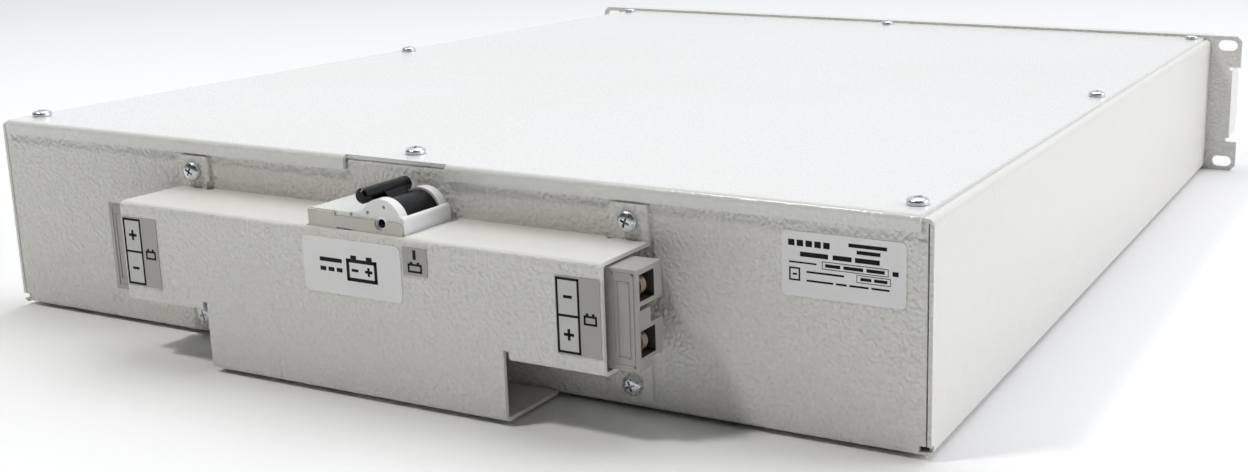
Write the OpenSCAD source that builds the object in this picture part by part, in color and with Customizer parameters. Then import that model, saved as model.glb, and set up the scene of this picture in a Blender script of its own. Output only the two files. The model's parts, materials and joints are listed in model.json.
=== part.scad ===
// Battery module for a 19-inch rack, two units high: a bent steel tray with a screwed lid holds
// eight sealed blocks in series. A bent bracket on the rear wall carries a circuit breaker on a
// piece of rail and a two-pole power connector at each end.
// Frame: +Z up, -Y to the rear (the connection side), +Y to the front panel, +X to the right as
// seen from the rear. The origin is the middle of the footprint, at the lowest edge of the panel.

/* [Case] */
// Outside width of the steel tray
case_w = 443; // [438:1:446]
// Outside height of the closed case
case_h = 85; // [84:0.5:86.5]
// Depth of the case from the rear wall to the front panel
case_d = 520; // [516:1:560]
// Thickness of the tray, lid and bracket sheet
sheet_t = 1.5; // [1.2:0.1:1.6]
// Outer radius of the sheet bends
bend_r = 2.5; // [2.2:0.1:3]
// Height of the lid's lip over the rear wall
lip_h = 6; // [4.5:0.5:6]
// Width of the notch in the middle of the lip
lip_notch_w = 49; // [30:1:60]

/* [Rack panel] */
// Width of the panel over its ears
panel_w = 482.6; // [482:0.1:483]
// Height of the panel, two rack units less a gap
panel_h = 88.1; // [88:0.1:88.5]
// Thickness of the panel
panel_t = 2; // [1.5:0.1:2.5]
// Distance between the left and right mounting slots
slot_pitch_x = 465.1; // [465:0.1:465.2]
// Distance between the lower and upper mounting slots
slot_pitch_z = 76.2; // [76.2:0.1:76.3]
// Length of a mounting slot from end to end
slot_l = 12; // [10:0.5:13]
// Width of a mounting slot
slot_w = 6.8; // [6.4:0.1:7]
// Depth of the folded grip on each ear
grip_d = 27; // [20:1:30]

/* [Rear bracket] */
// Width of the bracket
bracket_w = 227; // [222:1:232]
// How far the bracket stands out from the rear wall
bracket_d = 32; // [32:0.5:34]
// Height of the bracket's channel
bracket_h = 41; // [40:0.5:42]
// Height of the channel's underside above the case bottom
bracket_z = 23.5; // [23:0.5:24]
// Width of the deep middle part that holds the breaker
tongue_w = 142; // [120:1:146]

/* [Breaker] */
// Width of the one-pole breaker
breaker_w = 27; // [26:0.1:27]
// Length of the breaker's nose
nose_l = 45; // [45:0.1:45.2]
// Length of the whole breaker body
breaker_l = 81; // [78:1:84]
// Travel of the breaker's handle in degrees
handle_travel = 87; // [80:1:90]

/* [Batteries] */
// Length of one sealed block
block_l = 151; // [150:0.5:151]
// Height of one block without its tabs
block_h = 94; // [93:0.5:94]
// Thickness of one block
block_w = 65; // [64:0.5:65]

/* [Hidden] */

painted = "#E9E8E4";
zinc = "#B9BDC2";
moulded_white = "#F4F4F2";
moulded_grey = "#8D8C88";
black = "#202224";
copper = "#B4703E";
round_fn = 48;
small_fn = 32;
skin = 0.01;                                   // overshoot of a cutter past the face it cuts

label_t = 0.3;
lid_t = sheet_t;
lid_gap = 0.2;                                 // between the lid's lip and the rear wall
panel_y = case_d;                              // rear face of the panel, in wall coordinates
front_y = panel_y + panel_t + grip_d;          // foremost edge of the grips
wall_y = -(front_y + bracket_d + label_t) / 2 + bracket_d + label_t;
case_z = (panel_h - case_h) / 2;               // case bottom above the panel's lower edge
tray_h = case_h - lid_t;
inner_w = case_w - 2 * sheet_t;
flange_w = 18;                                 // inward flanges that the lid rests on
relief_w = 4.5;                                // corner relief at the lower rear bends
relief_h = 2.4;

lid_w = case_w - 8.6;
screw_x = 211;                                 // lid screws, left and right rows
lid_screw_places = [
    for (s = [-1, 1], y = [12, 258, 508]) [s * screw_x, y],
    [0, 12], [0, 508]];
m4_r = 2;
m4_clear = 2.25;
m4_head_r = 4;
m4_head_h = 2.7;
nut_body_r = 2.75;

tab_w = 16;                                    // bracket tabs
tab_x = bracket_w / 2 - tab_w / 2;
tab_top_z = 78;
tab_bottom_z = 3;
tab_screw_z = [9.5, 71.5];

// Breaker: x is measured along the rear wall, z above the case bottom
breaker_y = -30.4;                             // near face of the side cover
nose_x = -17;                                  // left end of the nose
nose_z = 71;                                   // low part of the nose
shoulder_z = 53.5;
rail_z = sheet_t + 7.5;                        // face of the rail that the breaker sits on
mid_x = nose_x + nose_l / 2;                   // middle of the breaker and its rail
body_x = mid_x - breaker_l / 2;
pivot_x = 17.6;
pivot_z = 68;
arch_r = 9.2;                                  // side arches beside the drum
drum_r = 8.4;
bar_r = 2.9;
bar_reach = 12.9;                              // from the pivot to the middle of the handle's bar
bar_x = pivot_x - bar_reach * sin(handle_travel / 2);
bar_z = pivot_z + bar_reach * cos(handle_travel / 2);
foot_drop = 2.2;                               // how far the foot reaches below the rail's face
wall_w = 4;                                    // side wall of the housing beside the drum
cover_t = 1;                                   // grey side cover
pin_r = 2.4;                                   // hollow pin that the drum turns on
pin_bore_r = 1.7;
rivet_r = 2.4;
rivet_places = [[-30, 16], [41, 16], [-30, 48], [41, 48]];
pivot_eye_r = 2.6;                             // round window over the end of the pin
rail_l = 28;

// Power connectors
plug_l = 47;
plug_h = 36.5;
plug_t = 16;
plug_x = bracket_w / 2 + 11.5 - plug_l;        // inner end of the housing
plug_y = -28;                                  // rear face of the housing
plug_z = bracket_z + bracket_h / 2 - plug_h / 2;
stud_x = 21;                                   // mounting holes, from the inner end
stud_z = 19.4;

function stud_place_z(side) = side > 0 ? plug_z + stud_z : plug_z + plug_h - stud_z;
function cell_place_z(side, k) = side > 0 ? plug_z + cell_z[k] : plug_z + plug_h - cell_z[k];

hole_x = [-57, 62];                            // cable holes in the rear wall
hole_z = 44;
hole_r = 11;

// Batteries: two columns of four, terminals facing each other in pairs
pad_t = 2;
block_z = sheet_t + pad_t;
row_y = [64, 184, 282, 402];                   // rear face of each row
column_x = [-inner_w / 2 + 2, inner_w / 2 - 2 - block_l];
lid_part = 12;                                 // height of a block's moulded lid
tab_len = 6;
tab_inset = 10;
tab_z = block_z + block_w - 14;
boot = [18, 9, 10];

wire_d = 4.5;

module at_wall() {
    translate([0, wall_y, case_z]) children();
}

// Plain helpers -------------------------------------------------------------------------------

module rounded_rect(w, h, r) {
    union() {
        translate([r, 0]) square([w - 2 * r, h]);
        translate([0, r]) square([w, h - 2 * r]);
        for (x = [r, w - r], y = [r, h - r])
            translate([x, y]) circle(r = r, $fn = round_fn);
    }
}

// A closed ring of sheet with rounded bends, as the section of a channel before it is opened
module sheet_ring(w, h) {
    difference() {
        rounded_rect(w, h, bend_r);
        translate([sheet_t, sheet_t])
            rounded_rect(w - 2 * sheet_t, h - 2 * sheet_t, bend_r - sheet_t);
    }
}

module slot_2d(length, width) {
    union() {
        square([length - width, width], center = true);
        for (s = [-1, 1])
            translate([s * (length - width) / 2, 0]) circle(d = width, $fn = round_fn);
    }
}

// Extrudes an XZ outline along +Y, from y = 0
module along_y(length) {
    translate([0, length, 0]) rotate([90, 0, 0]) linear_extrude(length) children();
}

// Extrudes a YZ outline along +X, from x = 0
module along_x(length) {
    rotate([90, 0, 90]) linear_extrude(length) children();
}

module plate(from, to) {
    translate(from) cube(to - from);
}

// Pan-head screw with a cross recess, head up, seated at z = 0
module pan_screw(r, head_r, head_h, length) {
    difference() {
        union() {
            intersection() {
                cylinder(r = head_r, h = head_h, $fn = round_fn);
                translate([0, 0, head_h - head_r * 1.55]) sphere(r = head_r * 1.55, $fn = 64);
            }
            translate([0, 0, -length]) cylinder(r = r, h = length + skin, $fn = small_fn);
        }
        for (a = [0, 90])
            rotate([0, 0, a])
                translate([-head_r * 0.55, -head_r * 0.12, head_h - 1.5])
                    cube([head_r * 1.1, head_r * 0.24, 3]);
    }
}

// Round nut or insert with a through hole, from z = 0 down
module insert(r, body_r, length, flange_r, flange_t) {
    difference() {
        union() {
            translate([0, 0, -length]) cylinder(r = body_r, h = length, $fn = small_fn);
            translate([0, 0, -length]) cylinder(r = flange_r, h = flange_t, $fn = small_fn);
        }
        translate([0, 0, -length - 1]) cylinder(r = r, h = length + 2, $fn = small_fn);
    }
}

// Cables: a tube swept along a smoothed path --------------------------------------------------

function unit(v) = v / norm(v);
function tangent(p, i) = unit(p[min(i + 1, len(p) - 1)] - p[max(i - 1, 0)]);
function carried(n, t) = unit(n - (n * t) * t);
function normals(p, first) = [
    for (i = 0, n = carried(first, tangent(p, 0)); i < len(p);
         i = i + 1, n = i < len(p) ? carried(n, tangent(p, i)) : n) n];
function spline_point(a, b, c, d, t) = 0.5 * (2 * b + (c - a) * t
    + (2 * a - 5 * b + 4 * c - d) * t * t + (3 * b - a - 3 * c + d) * t * t * t);
function smooth_path(p, steps) = [
    for (i = [0:len(p) - 2], k = [0:steps - 1])
        spline_point(p[max(i - 1, 0)], p[i], p[i + 1], p[min(i + 2, len(p) - 1)], k / steps),
    p[len(p) - 1]];

module cable(route, d, steps = 4, sides = 8) {
    p = smooth_path(route, steps);
    across = abs(unit(p[1] - p[0]) * [0, 0, 1]) > 0.9 ? [1, 0, 0] : [0, 0, 1];
    n = normals(p, across);
    points = [
        for (i = [0:len(p) - 1], k = [0:sides - 1])
            p[i] + d / 2 * (cos(360 * k / sides) * n[i]
                + sin(360 * k / sides) * cross(tangent(p, i), n[i]))];
    last = (len(p) - 1) * sides;
    walls = [
        for (i = [0:len(p) - 2], k = [0:sides - 1], h = [0, 1])
            let (a = i * sides + k, b = i * sides + (k + 1) % sides)
            h == 0 ? [a, a + sides, b] : [b, a + sides, b + sides]];
    caps = [[for (k = [0:sides - 1]) k], [for (k = [sides - 1:-1:0]) last + k]];
    polyhedron(points, concat(walls, caps));
}

// Case ----------------------------------------------------------------------------------------

module tray_section() {
    difference() {
        sheet_ring(case_w, tray_h);
        translate([flange_w, tray_h - sheet_t - 1]) square([case_w - 2 * flange_w, sheet_t + 2]);
    }
}

module rear_wall_section() {
    difference() {
        sheet_ring(4 * flange_w, tray_h);
        translate([flange_w, -1]) square([4 * flange_w, tray_h + 2]);
    }
}

module case_tray() color(painted) at_wall() {
    wall_half = inner_w / 2 - 0.6;
    top_half = case_w / 2 - flange_w - 1;
    difference() {
        union() {
            difference() {
                translate([-case_w / 2, 0, 0]) along_y(case_d) tray_section();
                plate([-wall_half, -1, -1], [wall_half, flange_w - 1, 2 * sheet_t]);
            }
            difference() {
                translate([-wall_half, 0, 0]) along_x(2 * wall_half) rear_wall_section();
                for (s = [-1, 1])
                    translate([s * (top_half + 15), sheet_t + 1.5 * flange_w, tray_h - sheet_t])
                        cube([30, 3 * flange_w, 4 * sheet_t], center = true);
            }
            plate([-top_half - 1 - skin, case_d - 22, tray_h - sheet_t],
                  [top_half + 1 + skin, case_d, tray_h]);
            plate([-top_half - 1, case_d - sheet_t, tray_h - 14],
                  [top_half + 1, case_d, tray_h - skin]);
            plate([-wall_half, case_d - sheet_t, skin], [wall_half, case_d, 14]);
            for (s = [-1, 1]) {
                plate([s > 0 ? case_w / 2 - flange_w : -case_w / 2 + sheet_t - skin,
                       case_d - sheet_t, 6],
                      [s > 0 ? case_w / 2 - sheet_t + skin : -case_w / 2 + flange_w,
                       case_d, tray_h - 6]);
            }
        }
        for (s = [-1, 1])
            translate([s * case_w / 2, 0, sheet_t + relief_h / 2])
                cube([2 * relief_w, 5, relief_h], center = true);
        for (p = lid_screw_places)
            translate([p[0], p[1], tray_h - 4]) cylinder(r = nut_body_r, h = 8, $fn = small_fn);
        for (s = [-1, 1], z = tab_screw_z)
            translate([s * tab_x, 4, z]) rotate([90, 0, 0])
                cylinder(r = nut_body_r, h = 8, $fn = small_fn);
        for (x = hole_x)
            translate([x, 6, hole_z]) rotate([90, 0, 0])
                cylinder(r = hole_r, h = 12, $fn = round_fn);
        for (s = [-1, 1], z = [22, 64])
            translate([s * (case_w / 2 - 9), case_d + 4, z]) rotate([90, 0, 0])
                cylinder(r = m4_r + 0.02, h = 10, $fn = small_fn);
    }
}

module lid_section() {
    run = case_d + lid_t + lid_gap;
    difference() {
        sheet_ring(2 * run, 40);
        translate([-1, -1]) square([2 * run + 2, 41 - lip_h]);
        translate([run, -1]) square([2 * run, 42]);
    }
}

module top_cover() color(painted) at_wall() {
    difference() {
        translate([-lid_w / 2, -lid_t - lid_gap, case_h - 40]) along_x(lid_w) lid_section();
        plate([-lip_notch_w / 2, -5, case_h - lip_h - 1], [lip_notch_w / 2, 0.4, case_h + 1]);
        for (p = lid_screw_places)
            translate([p[0], p[1], tray_h - 1]) cylinder(r = m4_clear, h = 4, $fn = small_fn);
    }
}

module lid_screws() color(zinc) at_wall() {
    for (p = lid_screw_places)
        translate([p[0], p[1], case_h]) pan_screw(m4_r, m4_head_r, m4_head_h, 10);
}

module lid_nuts() color(zinc) at_wall() {
    for (p = lid_screw_places)
        translate([p[0], p[1], tray_h])
            insert(m4_r + 0.02, nut_body_r - 0.02, 7.5, nut_body_r - 0.02, 1);
}

// Front ---------------------------------------------------------------------------------------

grip_z = [20, 64];                             // folded grips, above the case bottom
grip_x = panel_w / 2 - 5;                      // outer face of a folded grip

module ear_outline() {
    corner = 3;
    half_w = panel_w / 2;
    half_h = panel_h / 2;
    polygon([
        [-half_w + corner, -half_h], [half_w - corner, -half_h], [half_w, -half_h + corner],
        [half_w, half_h - corner], [half_w - corner, half_h], [-half_w + corner, half_h],
        [-half_w, half_h - corner], [-half_w, -half_h + corner]]);
}

module grip_outline() {
    cut = 6;
    h = grip_z[1] - grip_z[0];
    d = grip_d + panel_t;
    polygon([[0, 0], [d - cut, 0], [d, cut], [d, h - cut], [d - cut, h], [0, h]]);
}

module front_panel() color(painted) at_wall() {
    mid_z = case_h / 2;
    difference() {
        translate([0, panel_y + panel_t, mid_z]) rotate([90, 0, 0])
            linear_extrude(panel_t) difference() {
                ear_outline();
                for (s = [-1, 1], t = [-1, 1])
                    translate([s * slot_pitch_x / 2, t * slot_pitch_z / 2]) slot_2d(slot_l, slot_w);
                for (s = [-1, 1])
                    translate([s * panel_w / 2, (grip_z[0] + grip_z[1]) / 2 - mid_z])
                        square([2 * (panel_w / 2 - grip_x + panel_t),
                                grip_z[1] - grip_z[0] + 5], center = true);
            }
        for (s = [-1, 1], z = [22, 64])
            translate([s * (case_w / 2 - 9), panel_y + 5, z]) rotate([90, 0, 0])
                cylinder(r = m4_clear, h = 8, $fn = small_fn);
        for (s = [-1, 1], z = fascia_screw_z)
            translate([s * 150, panel_y + 5, z]) rotate([90, 0, 0])
                cylinder(r = 1.7, h = 8, $fn = small_fn);
    }
    for (s = [-1, 1])
        translate([s > 0 ? grip_x - panel_t : -grip_x, panel_y, grip_z[0]])
            along_x(panel_t) grip_outline();
    for (s = [-1, 1])
        plate([s > 0 ? grip_x - panel_t - 2 : -grip_x + panel_t - skin, panel_y, grip_z[0]],
              [s > 0 ? grip_x - panel_t + skin : -grip_x + panel_t + 2,
               panel_y + panel_t, grip_z[1]]);
}

fascia_w = 446;
fascia_d = 15;
fascia_screw_z = [20, 64];
fascia_z = [-1, case_h + 1];

// Moulded front cover: a shallow tray with rows of cooling slots, open to the rear
module front_fascia() color(moulded_white) at_wall() {
    h = fascia_z[1] - fascia_z[0];
    wall = 2.2;
    difference() {
        union() {
            difference() {
                translate([-fascia_w / 2, panel_y + panel_t, fascia_z[0]])
                    along_y(fascia_d) rounded_rect(fascia_w, h, 4);
                translate([-fascia_w / 2 + wall, panel_y + panel_t - 1, fascia_z[0] + wall])
                    along_y(fascia_d - wall + 1)
                        rounded_rect(fascia_w - 2 * wall, h - 2 * wall, 2);
            }
            for (s = [-1, 1], z = fascia_screw_z)
                translate([s * 150, panel_y + panel_t, z]) rotate([-90, 0, 0])
                    cylinder(r = 4, h = fascia_d - 1, $fn = small_fn);
        }
        for (x = [-9:9], z = [30:9:60])
            translate([x * 22, panel_y + fascia_d, z]) rotate([90, 0, 0])
                linear_extrude(10, center = true) slot_2d(17, 3.5);
        for (s = [-1, 1], z = fascia_screw_z)
            translate([s * 150, panel_y + panel_t - 1, z]) rotate([-90, 0, 0])
                cylinder(r = 1.52, h = 11, $fn = small_fn);
    }
}

module fascia_screws() color(zinc) at_wall() {
    for (s = [-1, 1], z = fascia_screw_z)
        translate([s * 150, panel_y, z]) rotate([90, 0, 0]) pan_screw(1.5, 2.9, 2.2, 10);
}

module panel_screws() color(zinc) at_wall() {
    for (s = [-1, 1], z = [22, 64])
        translate([s * (case_w / 2 - 9), panel_y + panel_t, z]) rotate([-90, 0, 0])
            pan_screw(m4_r, m4_head_r, m4_head_h, 10);
}

// Rear bracket --------------------------------------------------------------------------------

module bracket_section() {
    difference() {
        sheet_ring(3 * bracket_d, bracket_h);
        translate([bracket_d, -1]) square([3 * bracket_d, bracket_h + 2]);
    }
}

module tongue_section() {
    height = bracket_z + bracket_h - bend_r;
    difference() {
        sheet_ring(3 * bracket_d, 2 * height);
        translate([bracket_d, -1]) square([3 * bracket_d, 3 * height]);
        translate([-1, height]) square([4 * bracket_d, 2 * height]);
    }
}

module bracket_tab(z_from, z_to) {
    translate([-tab_w / 2, -sheet_t, z_from]) along_y(sheet_t)
        rounded_rect(tab_w, z_to - z_from, 1.4);
}

module rear_bracket() color(painted) at_wall() {
    top_z = bracket_z + bracket_h;
    difference() {
        union() {
            difference() {
                translate([-bracket_w / 2, -bracket_d, bracket_z])
                    along_x(bracket_w) bracket_section();
                plate([-tongue_w / 2, -bracket_d - 1, bracket_z - 1],
                      [tongue_w / 2, 1, bracket_z + bend_r + 3]);
            }
            translate([-tongue_w / 2, -bracket_d, 0]) along_x(tongue_w) tongue_section();
            for (s = [-1, 1]) {
                translate([s * tab_x, 0, 0]) bracket_tab(top_z - sheet_t, tab_top_z);
                translate([s * tab_x, 0, 0]) bracket_tab(tab_bottom_z, bracket_z + sheet_t);
            }
        }
        for (s = [-1, 1]) {
            translate([s * (tongue_w / 2 + 1.2), -bracket_d, bracket_z + 1])
                cube([2.4, 8, 6], center = true);
            translate([s * (tab_x - tab_w / 2), -sheet_t, top_z - 3])
                cylinder(r = 1.3, h = 6, $fn = small_fn);
            translate([s * (tab_x - tab_w / 2), -sheet_t, bracket_z - 3])
                cylinder(r = 1.3, h = 6, $fn = small_fn);
        }
        for (s = [-1, 1], z = tab_screw_z)
            translate([s * tab_x, 1, z]) rotate([90, 0, 0])
                cylinder(r = m4_clear, h = 4, $fn = small_fn);
        plate([nose_x - 0.5, breaker_y - 0.1, top_z - 4],
              [nose_x + nose_l + 0.5, breaker_y + breaker_w + 0.4, top_z + 1]);
        for (s = [-1, 1])
            translate([s * (plug_x + stud_x), -bracket_d + 4, stud_place_z(s)])
                rotate([90, 0, 0]) cylinder(r = 1.7, h = 8, $fn = small_fn);
        for (x = [-1, 1])
            translate([mid_x + x * 6, -bracket_d / 2, -1])
                cylinder(r = 1.7, h = 4, $fn = small_fn);
    }
}

module bracket_screws() color(zinc) at_wall() {
    for (s = [-1, 1], z = tab_screw_z)
        translate([s * tab_x, -sheet_t, z]) rotate([90, 0, 0])
            pan_screw(m4_r, m4_head_r, m4_head_h, 9);
}

module bracket_nuts() color(zinc) at_wall() {
    for (s = [-1, 1], z = tab_screw_z)
        translate([s * tab_x, 0, z]) rotate([90, 0, 0])
            insert(m4_r + 0.02, nut_body_r - 0.02, 6, nut_body_r - 0.02, 1);
}

// Breaker -------------------------------------------------------------------------------------

// Side view of the body: the rail foot, the shoulders, the nose and the arch over the drum
module breaker_outline() {
    difference() {
        union() {
            translate([body_x, rail_z - foot_drop])
                rounded_rect(breaker_l, shoulder_z - rail_z + foot_drop, 1.5);
            translate([nose_x, rail_z + 5]) rounded_rect(nose_l, nose_z - rail_z - 5, 1.5);
            intersection() {
                translate([pivot_x, pivot_z]) circle(r = arch_r, $fn = 96);
                translate([nose_x, rail_z]) square([nose_l, 100]);
            }
        }
        // seat of the rail, with a fixed hook under its right flange
        translate([mid_x - 18, rail_z - foot_drop - 1]) square([32.5, foot_drop + 1]);
        translate([mid_x - 18, rail_z - 1.15]) square([35.6, 1.15]);
    }
}

module breaker_housing() color(moulded_white) at_wall() {
    near = breaker_y + cover_t;
    depth = breaker_w - cover_t;
    difference() {
        translate([0, near, 0]) along_y(depth) breaker_outline();
        translate([pivot_x, near + wall_w, pivot_z]) rotate([-90, 0, 0])
            cylinder(r = drum_r + 0.35, h = depth - 2 * wall_w, $fn = 96);
        plate([pivot_x - drum_r - 0.35, near + wall_w, pivot_z],
              [pivot_x + drum_r + 0.35, near + depth - wall_w, pivot_z + 20]);
        translate([pivot_x, near - 1, pivot_z]) rotate([-90, 0, 0])
            cylinder(r = pin_r + 0.02, h = depth + 2, $fn = small_fn);
        for (p = rivet_places)
            translate([p[0], near - 1, p[1]]) rotate([-90, 0, 0])
                cylinder(r = rivet_r + 0.02, h = depth + 2, $fn = small_fn);
        for (s = [-1, 1])
            translate([mid_x + s * (breaker_l / 2 - 6), near + depth / 2, 31])
                cube([14, 13, 17], center = true);
        for (s = [-1, 1])
            translate([mid_x + s * (breaker_l / 2 - 7), near + depth / 2, 35])
                cylinder(r = 3.6, h = 30, $fn = small_fn);
        plate([body_x - 1, near + depth / 2 - 5, rail_z - foot_drop - 1],
              [mid_x - 15, near + depth / 2 + 5, rail_z + 4.2]);
        for (p = [[19, 74.2], [11.3, 71.6], [3.5, 70.2]])
            translate([p[0], near - 1, p[1]]) rotate([-90, 0, 0])
                cylinder(r = 0.7, h = 2.4, $fn = small_fn);
    }
}

module side_cover_outline() {
    difference() {
        union() {
            translate([body_x + 1, rail_z + 1.5])
                square([breaker_l - 2, shoulder_z - rail_z - 2.5]);
            translate([nose_x + 0.6, rail_z + 10])
                rounded_rect(nose_l - 1.2, 69 - rail_z - 10, 2.4);
            translate([nose_x + 0.6, 60]) square([12.5, 10.6]);
        }
        for (p = rivet_places)
            translate(p) circle(r = rivet_r + 0.02, $fn = small_fn);
        translate([pivot_x, pivot_z]) circle(r = pivot_eye_r, $fn = small_fn);
        translate([nose_x + 14, 64.2]) square([7, 0.6]);
    }
}

module breaker_side_cover() color("#A9A7A2") at_wall() {
    translate([0, breaker_y, 0]) along_y(cover_t) side_cover_outline();
}

module breaker_handle() color(black) at_wall() {
    near = breaker_y + cover_t + wall_w + 0.4;
    depth = breaker_w - cover_t - 2 * wall_w - 0.8;
    arm = 11;
    chamfer = 1;
    difference() {
        union() {
            translate([pivot_x, near, pivot_z]) rotate([-90, 0, 0])
                cylinder(r = drum_r, h = depth, $fn = 96);
            translate([pivot_x, near + depth / 2 - arm / 2 + 2, pivot_z]) rotate([0, -handle_travel / 2, 0])
                translate([-2.2, 0, 0]) cube([4.4, arm, bar_reach]);
            translate([bar_x, breaker_y + 0.5, bar_z]) rotate([-90, 0, 0]) {
                translate([0, 0, chamfer])
                    cylinder(r = bar_r, h = breaker_w - 1 - 2 * chamfer, $fn = small_fn);
                cylinder(r1 = bar_r - chamfer, r2 = bar_r, h = chamfer + skin, $fn = small_fn);
                translate([0, 0, breaker_w - 1 - chamfer - skin])
                    cylinder(r1 = bar_r, r2 = bar_r - chamfer, h = chamfer, $fn = small_fn);
            }
        }
        translate([pivot_x, near - 1, pivot_z]) rotate([-90, 0, 0])
            cylinder(r = pin_r + 0.05, h = depth + 2, $fn = small_fn);
    }
}

module breaker_pin() color(zinc) at_wall() {
    length = breaker_w - cover_t - 0.4;
    translate([pivot_x, breaker_y + cover_t + 0.2, pivot_z]) rotate([-90, 0, 0]) difference() {
        cylinder(r = pin_r, h = length, $fn = small_fn);
        translate([0, 0, -1]) cylinder(r = pin_bore_r, h = length + 2, $fn = small_fn);
    }
}

module breaker_rivets() color(zinc) at_wall() {
    for (p = rivet_places)
        translate([p[0], breaker_y + 0.3, p[1]]) rotate([-90, 0, 0]) difference() {
            cylinder(r = rivet_r, h = breaker_w - 0.6, $fn = small_fn);
            translate([0, 0, -1]) cylinder(r = rivet_r - 0.7, h = breaker_w, $fn = small_fn);
        }
}

module breaker_clamps() color(zinc) at_wall() {
    mid_y = breaker_y + cover_t + (breaker_w - cover_t) / 2;
    for (s = [-1, 1])
        translate([mid_x + s * (breaker_l / 2 - 7), mid_y, 0]) {
            difference() {
                translate([-5, -6, 23]) cube([10, 12, 15]);
                translate([-6, -4.5, 25]) cube([12, 9, 8]);
                translate([0, 0, 32]) cylinder(r = 2.52, h = 10, $fn = small_fn);
            }
            translate([0, 0, 30.5]) difference() {
                union() {
                    cylinder(r = 2.5, h = 11, $fn = small_fn);
                    translate([0, 0, 11]) cylinder(r = 3.4, h = 3, $fn = small_fn);
                }
                translate([-4, -0.5, 12.6]) cube([8, 1, 3]);
            }
        }
}

// Sprung foot that hooks the breaker on its rail
module breaker_rail_clip() color(moulded_grey) at_wall() {
    mid_y = breaker_y + cover_t + (breaker_w - cover_t) / 2;
    difference() {
        plate([mid_x - 46, mid_y - 4.7, rail_z + 1.3], [mid_x - 19.5, mid_y + 4.7, rail_z + 3.9]);
        plate([mid_x - 44.5, mid_y - 2.5, rail_z], [mid_x - 42, mid_y + 2.5, rail_z + 5]);
    }
    plate([mid_x - 21, mid_y - 4.7, rail_z - 2.2], [mid_x - 18.5, mid_y + 4.7, rail_z + 1.31]);
    plate([mid_x - 18.5 - skin, mid_y - 4.7, rail_z - 2.2], [mid_x - 15.5, mid_y + 4.7, rail_z - 1.15]);
}

// Top-hat rail, 35 by 7.5, with its flanges up
module din_rail() color(zinc) at_wall() {
    t = 1;
    difference() {
        translate([mid_x, -bracket_d + sheet_t + 1, sheet_t]) along_y(rail_l)
            union() {
                translate([-12.5, 0]) square([25, t]);
                for (s = [-1, 1]) {
                    translate([s * 13 - 0.5, 0]) square([t, 7.5]);
                    translate([s > 0 ? 12.5 : -17.5, 6.5]) square([5, t]);
                }
            }
        for (s = [-1, 1])
            translate([mid_x + s * 6, -bracket_d / 2, 0]) cylinder(r = 1.7, h = 6, $fn = small_fn);
    }
}

module rail_screws() color(zinc) at_wall() {
    for (s = [-1, 1])
        translate([mid_x + s * 6, -bracket_d / 2, 0]) {
            translate([0, 0, sheet_t + 1]) difference() {
                cylinder(r = 3, h = 1.9, $fn = small_fn);
                for (a = [0, 90])
                    rotate([0, 0, a]) translate([-1.7, -0.4, 0.9]) cube([3.4, 0.8, 2]);
            }
            translate([0, 0, 0.2]) cylinder(r = 1.65, h = sheet_t + 1, $fn = small_fn);
        }
}

// Power connectors ----------------------------------------------------------------------------

// Two-pole housing, mating face at +x: a hooded cell for each pole, a key block between them on
// the side of the flat plate, and a step below the lower hood. z = 0 is the underside.
cell_z = [9.6, 29.8];                          // middle of each cell
cell_h = 9.6;
cell_y = [1.4, 10.9];
key_y = 8.2;                                   // back of the key block
key_z = [15.2, 21.7];
hood_gap_z = [16, 23.3];
hood_l = 10;                                   // how deep the gaps between the hoods are
step_z = 3.6;
blade_y = 5.4;
nose_y = [3.4, 6.7];                           // thick rounded nose of a contact
nose_r = 3.8;

module plug_housing() {
    difference() {
        cube([plug_l, plug_t, plug_h]);
        for (z = cell_z)
            plate([plug_l - hood_l - 4, cell_y[0], z - cell_h / 2],
                  [plug_l + 1, cell_y[1], z + cell_h / 2]);
        plate([plug_l - hood_l, key_y, hood_gap_z[0]], [plug_l + 1, plug_t + 1, hood_gap_z[1]]);
        plate([plug_l - hood_l, cell_y[0], key_z[1]], [plug_l + 1, plug_t + 1, hood_gap_z[1]]);
        plate([plug_l - hood_l, key_y, -1], [plug_l + 1, plug_t + 1, step_z]);
        for (z = cell_z)
            translate([-1, plug_t / 2, z]) rotate([0, 90, 0])
                cylinder(r = 4.4, h = 22, $fn = small_fn);
        for (z = cell_z)
            plate([20, blade_y - 1.5, z - 4.4], [plug_l - hood_l - 3, plug_t / 2 + 4.4, z + 4.4]);
        translate([stud_x, -1, stud_z]) rotate([-90, 0, 0])
            cylinder(r = 1.7, h = plug_t + 2, $fn = small_fn);
    }
}

// Barrel, blade and rounded nose of each contact
module plug_contacts() {
    for (z = cell_z) {
        difference() {
            translate([8, plug_t / 2, z]) rotate([0, 90, 0])
                cylinder(r = 3.6, h = 13, $fn = small_fn);
            translate([7, plug_t / 2, z]) rotate([0, 90, 0])
                cylinder(r = 2.5, h = 11, $fn = small_fn);
        }
        plate([20.5, blade_y - 1, z - nose_r], [plug_l - 0.5 - nose_r, blade_y + 1, z + nose_r]);
        translate([plug_l - 0.5 - nose_r, nose_y[1], z]) rotate([90, 0, 0])
            cylinder(r = nose_r, h = nose_y[1] - nose_y[0], $fn = round_fn);
    }
}

module place_plug(side) {
    if (side > 0)
        translate([plug_x, plug_y, plug_z]) children();
    else
        translate([-plug_x, plug_y, plug_z + plug_h]) rotate([0, 180, 0]) children();
}

module connector_left() color(moulded_grey) at_wall() place_plug(-1) plug_housing();

module connector_right() color(moulded_grey) at_wall() place_plug(1) plug_housing();

module contacts_left() color(copper) at_wall() place_plug(-1) plug_contacts();

module contacts_right() color(copper) at_wall() place_plug(1) plug_contacts();

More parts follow.
